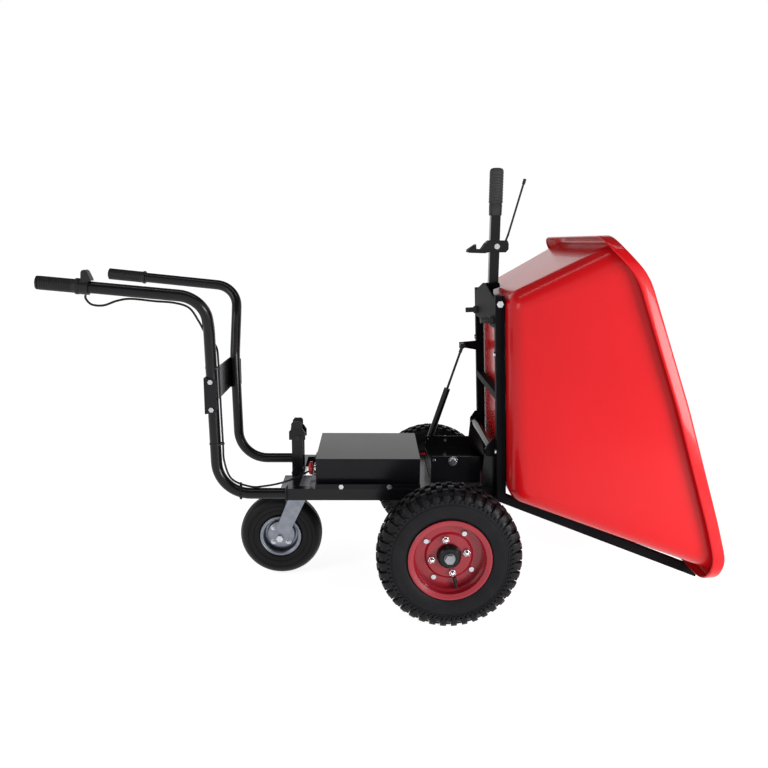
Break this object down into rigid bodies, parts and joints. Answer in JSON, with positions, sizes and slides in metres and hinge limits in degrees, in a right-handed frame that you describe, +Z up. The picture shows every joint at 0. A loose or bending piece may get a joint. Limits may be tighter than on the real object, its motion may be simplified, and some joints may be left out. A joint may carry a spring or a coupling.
{
  "type": "power wheelbarrow",
  "caption": "Battery-powered wheelbarrow with a tipping tub on a hinged frame, a latching dump lever, gas strut, handlebars, driven front wheels and a trailing caster.",
  "frame": {"origin": "on the floor under the middle of the machine's box, with the tub tipped", "axes": "+X the way it drives and tips its load, +Y its left side, +Z up"},
  "size_m": [1.8408, 0.7556, 1.2528],
  "materials": {
    "battery_case": "satin",
    "black_plastic": "satin",
    "bolt_steel": "bright",
    "box_paint": "semi-gloss",
    "cable_jacket": "satin",
    "cast_housing": "cast",
    "frame_paint": "gloss",
    "grey_rubber": "matte",
    "hub_paint": "black",
    "nut_chrome": "polished",
    "raw_steel": "satin",
    "red_plastic": "gloss",
    "rim_paint": "gloss",
    "soft_rubber": "matte",
    "tub_paint": "gloss",
    "tyre_rubber": "matte",
    "zinc": "satin"
  },
  "bodies": {
    "chassis": {"chassis_frame": "frame_paint", "caster_plate": "zinc", "latch_post": "frame_paint", "post_bumpers": "soft_rubber", "catch_pin": "raw_steel", "handlebar_left": "frame_paint", "handlebar_right": "frame_paint", "handle_cross_plate": "frame_paint", "handle_bolts": "bolt_steel", "grip_left": "soft_rubber", "throttle_housing": "black_plastic", "battery_box": "box_paint", "box_lid": "box_paint", "battery_pack": "battery_case", "controller": "cast_housing", "frame_bolts": "bolt_steel", "estop_body": "bolt_steel", "rocker_housing": "black_plastic", "throttle_cable": "cable_jacket", "motor_cable": "cable_jacket", "axle_housing": "cast_housing", "drive_motor": "raw_steel", "motor_cover": "box_paint", "hinge_brackets": "frame_paint"},
    "throttle": {"throttle_grip": "soft_rubber"},
    "estop": {"estop_button": "red_plastic"},
    "rocker_key": {"rocker": "black_plastic"},
    "tipper": {"hinge_pin": "raw_steel", "tub": "tub_paint", "tub_frame": "frame_paint", "tub_bolts": "bolt_steel", "lever_gussets": "frame_paint", "gusset_bolts": "bolt_steel", "tub_lever": "frame_paint", "lever_grip": "soft_rubber", "tub_buffers": "grey_rubber", "latch_pivot_bolt": "bolt_steel", "latch_spring": "zinc"},
    "latch": {"latch_hook": "frame_paint", "latch_rod": "raw_steel"},
    "strut_body": {"strut_cylinder": "frame_paint"},
    "strut_piston": {"strut_rod": "nut_chrome"},
    "caster_swivel": {"caster_fork": "zinc", "caster_axle": "bolt_steel"},
    "caster_wheel": {"caster_tyre": "tyre_rubber", "caster_rim": "zinc"},
    "wheel_left": {"tyre_left": "tyre_rubber", "rim_outer_left": "rim_paint", "rim_inner_left": "rim_paint", "hub_left": "hub_paint", "rim_bolts_left": "bolt_steel", "lug_nuts_left": "nut_chrome", "axle_shaft_left": "raw_steel"},
    "wheel_right": {"tyre_right": "tyre_rubber", "rim_outer_right": "rim_paint", "rim_inner_right": "rim_paint", "hub_right": "hub_paint", "rim_bolts_right": "bolt_steel", "lug_nuts_right": "nut_chrome", "axle_shaft_right": "raw_steel"}
  },
  "joints": [
    {"name": "tub_tilt", "type": "hinge", "parent": "chassis", "child": "tipper", "pos_m": [0.30255, 0, 0.452], "axis": [0, -1, 0], "range_deg": [0, 87.4]},
    {"name": "latch_pivot", "type": "hinge", "parent": "tipper", "child": "latch", "pos_m": [0.32395, 0, 1.0281], "axis": [0, -1, 0], "range_deg": [0, 16], "stiffness_Nm_per_rad": 2.5, "springref_deg": -20.05},
    {"name": "strut_swing", "type": "hinge", "parent": "chassis", "child": "strut_body", "pos_m": [0.14385, 0.162, 0.3746], "axis": [0, -1, 0], "range_deg": [0, 100]},
    {"name": "strut_stroke", "type": "slide", "parent": "strut_body", "child": "strut_piston", "axis": [-0.31, 0, -0.9507], "range_m": [0, 0.125]},
    {"name": "throttle_twist", "type": "hinge", "parent": "chassis", "child": "throttle", "pos_m": [-0.91345, -0.268, 0.929], "axis": [-0.994, -0.0589, 0.0919], "range_deg": [0, 60], "stiffness_Nm_per_rad": 0.25, "springref_deg": -11.46},
    {"name": "estop_press", "type": "slide", "parent": "chassis", "child": "estop", "axis": [1, 0, 0], "range_m": [0, 0.004], "stiffness_N_per_m": 1500},
    {"name": "rocker_tilt", "type": "hinge", "parent": "chassis", "child": "rocker_key", "pos_m": [-0.20785, -0.074, 0.399], "axis": [0, 1, 0], "range_deg": [-9, 9]},
    {"name": "caster_turn", "type": "hinge", "parent": "chassis", "child": "caster_swivel", "pos_m": [-0.26145, 0, 0.27], "axis": [0, 0, 1], "continuous": true},
    {"name": "caster_roll", "type": "hinge", "parent": "caster_swivel", "child": "caster_wheel", "pos_m": [-0.32885, 0, 0.1285], "axis": [0, 1, 0], "continuous": true},
    {"name": "wheel_left_roll", "type": "hinge", "parent": "chassis", "child": "wheel_left", "pos_m": [0.16855, 0.3288, 0.2], "axis": [0, 1, 0], "continuous": true},
    {"name": "wheel_right_roll", "type": "hinge", "parent": "chassis", "child": "wheel_right", "pos_m": [0.16855, -0.3288, 0.2], "axis": [0, 1, 0], "continuous": true}
  ],
  "couplings": [
    {"joint": "strut_swing", "follows": "tub_tilt", "ratio": 1.143},
    {"joint": "strut_stroke", "follows": "tub_tilt", "m_per_rad": 0.081535}
  ]
}
